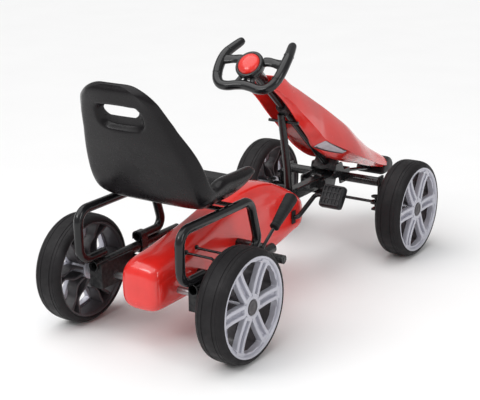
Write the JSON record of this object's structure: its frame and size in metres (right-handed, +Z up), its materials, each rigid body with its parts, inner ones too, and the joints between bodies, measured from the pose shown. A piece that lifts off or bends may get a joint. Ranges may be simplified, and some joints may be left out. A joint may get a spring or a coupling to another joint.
{
  "type": "pedal go kart",
  "caption": "Child's pedal go kart with a bucket seat, chain case, yoke steering wheel, pointed hood and spoked wheels with foam tyres.",
  "frame": {"origin": "on the ground under the middle of the kart's length and width", "axes": "+Z up, +Y forwards along the kart, +X to the rider's right"},
  "size_m": [0.524, 1.2276, 0.6242],
  "materials": {
    "frame_black": "gloss black powder coat",
    "housing_black": "satin black moulded",
    "nylon": "natural nylon",
    "red_plastic": "gloss red moulded",
    "horn_red": "gloss red moulded",
    "seat_plastic": "satin black blow-moulded",
    "tyre_foam": "smooth black foam tread",
    "rim_silver": "silver-grey moulded",
    "cap_black": "satin black",
    "wheel_black": "gloss black moulded",
    "pedal_black": "satin black moulded",
    "grip_rubber": "matt black",
    "nose_black": "satin black moulded",
    "lens_grey": "grey lens",
    "plain_steel": "plain steel"
  },
  "bodies": {
    "root": {"backbone_tube": "frame_black", "side_rail_left": "frame_black", "side_rail_right": "frame_black", "cross_tube_front": "frame_black", "cross_tube_rear": "frame_black", "front_bracket": "frame_black", "front_beam": "frame_black", "kingpin_yoke_left": "frame_black", "kingpin_yoke_right": "frame_black", "kingpins": "plain_steel", "bearing_housing_left": "housing_black", "bearing_housing_right": "housing_black", "axle_bushes": "nylon", "housing_bolts": "plain_steel", "stay_rods": "frame_black", "crank_shell": "frame_black", "crank_bushes": "nylon", "chain": "plain_steel", "chain_case_left": "red_plastic", "chain_case_right": "red_plastic", "column_lower_bush": "nylon", "column_upper_bush": "nylon", "column_strut": "frame_black", "hood": "red_plastic", "hood_stay": "frame_black", "nose_bumper": "nose_black", "headlights": "lens_grey", "brake_bracket": "frame_black"},
    "rear_axle": {"rear_axle": "plain_steel", "rear_sprocket": "plain_steel", "rim_rear_right": "rim_silver", "tyre_rear_right": "tyre_foam", "hub_cap_rear_right": "cap_black"},
    "rear_left_wheel": {"rim_rear_left": "rim_silver", "tyre_rear_left": "tyre_foam", "hub_cap_rear_left": "cap_black"},
    "front_left_wheel": {"rim_front_left": "rim_silver", "tyre_front_left": "tyre_foam", "hub_cap_front_left": "cap_black"},
    "front_right_wheel": {"rim_front_right": "rim_silver", "tyre_front_right": "tyre_foam", "hub_cap_front_right": "cap_black"},
    "crank": {"crank": "frame_black", "chainring": "plain_steel"},
    "pedal_left": {"pedal_left": "pedal_black"},
    "pedal_right": {"pedal_right": "pedal_black"},
    "steering": {"steering_column": "frame_black", "steering_wheel": "wheel_black"},
    "horn_button": {"horn_button": "horn_red"},
    "knuckle_left": {"steering_knuckle_left": "frame_black"},
    "knuckle_right": {"steering_knuckle_right": "frame_black"},
    "tie_rod_left": {"tie_rod_left": "frame_black"},
    "tie_rod_right": {"tie_rod_right": "frame_black"},
    "brake_lever": {"brake_lever": "frame_black", "brake_grip": "grip_rubber", "brake_pad": "grip_rubber"},
    "seat": {"seat_shell": "seat_plastic", "seat_hoop_left": "frame_black", "seat_hoop_right": "frame_black", "seat_clamps": "frame_black"}
  },
  "joints": [
    {"name": "rear_axle_spin", "type": "hinge", "parent": "root", "child": "rear_axle", "pos_m": [0, -0.47, 0.13], "axis": [-1, 0, 0], "continuous": true},
    {"name": "rear_left_wheel_spin", "type": "hinge", "parent": "rear_axle", "child": "rear_left_wheel", "pos_m": [-0.225, -0.47, 0.13], "axis": [-1, 0, 0], "continuous": true},
    {"name": "crank_spin", "type": "hinge", "parent": "root", "child": "crank", "pos_m": [0, 0.035, 0.158], "axis": [-1, 0, 0], "continuous": true},
    {"name": "pedal_right_spin", "type": "hinge", "parent": "crank", "child": "pedal_right", "pos_m": [0.114, 0.12903, 0.19753], "axis": [-1, 0, 0], "continuous": true},
    {"name": "pedal_left_spin", "type": "hinge", "parent": "crank", "child": "pedal_left", "pos_m": [-0.114, -0.05903, 0.11847], "axis": [-1, 0, 0], "continuous": true},
    {"name": "steering_turn", "type": "hinge", "parent": "root", "child": "steering", "pos_m": [0, -0.078, 0.564], "axis": [0, -0.7455, 0.6665], "range_deg": [-25, 25]},
    {"name": "horn_press", "type": "slide", "parent": "steering", "child": "horn_button", "axis": [0, 0.7455, -0.6665], "range_m": [0, 0.003], "stiffness_N_per_m": 400},
    {"name": "knuckle_left_turn", "type": "hinge", "parent": "root", "child": "knuckle_left", "pos_m": [-0.165, 0.34, 0.13], "axis": [0, 0, 1], "range_deg": [-25, 25]},
    {"name": "knuckle_right_turn", "type": "hinge", "parent": "root", "child": "knuckle_right", "pos_m": [0.165, 0.34, 0.13], "axis": [0, 0, 1], "range_deg": [-25, 25]},
    {"name": "tie_rod_left_turn", "type": "hinge", "parent": "steering", "child": "tie_rod_left", "pos_m": [-0.014, 0.27284, 0.15373], "axis": [0, -0.7455, 0.6665], "range_deg": [-25, 25]},
    {"name": "tie_rod_right_turn", "type": "hinge", "parent": "steering", "child": "tie_rod_right", "pos_m": [0.014, 0.27284, 0.15373], "axis": [0, -0.7455, 0.6665], "range_deg": [-25, 25]},
    {"name": "front_left_wheel_spin", "type": "hinge", "parent": "knuckle_left", "child": "front_left_wheel", "pos_m": [-0.225, 0.34, 0.13], "axis": [-1, 0, 0], "continuous": true},
    {"name": "front_right_wheel_spin", "type": "hinge", "parent": "knuckle_right", "child": "front_right_wheel", "pos_m": [0.225, 0.34, 0.13], "axis": [-1, 0, 0], "continuous": true},
    {"name": "brake_pull", "type": "hinge", "parent": "root", "child": "brake_lever", "pos_m": [0.1645, -0.29, 0.165], "axis": [1, 0, 0], "range_deg": [0, 10]},
    {"name": "seat_slide", "type": "slide", "parent": "root", "child": "seat", "axis": [0, 1, 0], "range_m": [-0.01, 0.035]}
  ],
  "couplings": [
    {"joint": "crank_spin", "follows": "rear_axle_spin", "ratio": 0.72727},
    {"joint": "knuckle_left_turn", "follows": "steering_turn", "ratio": 1},
    {"joint": "knuckle_right_turn", "follows": "steering_turn", "ratio": 1},
    {"joint": "tie_rod_left_turn", "follows": "steering_turn", "ratio": -1},
    {"joint": "tie_rod_right_turn", "follows": "steering_turn", "ratio": -1}
  ]
}
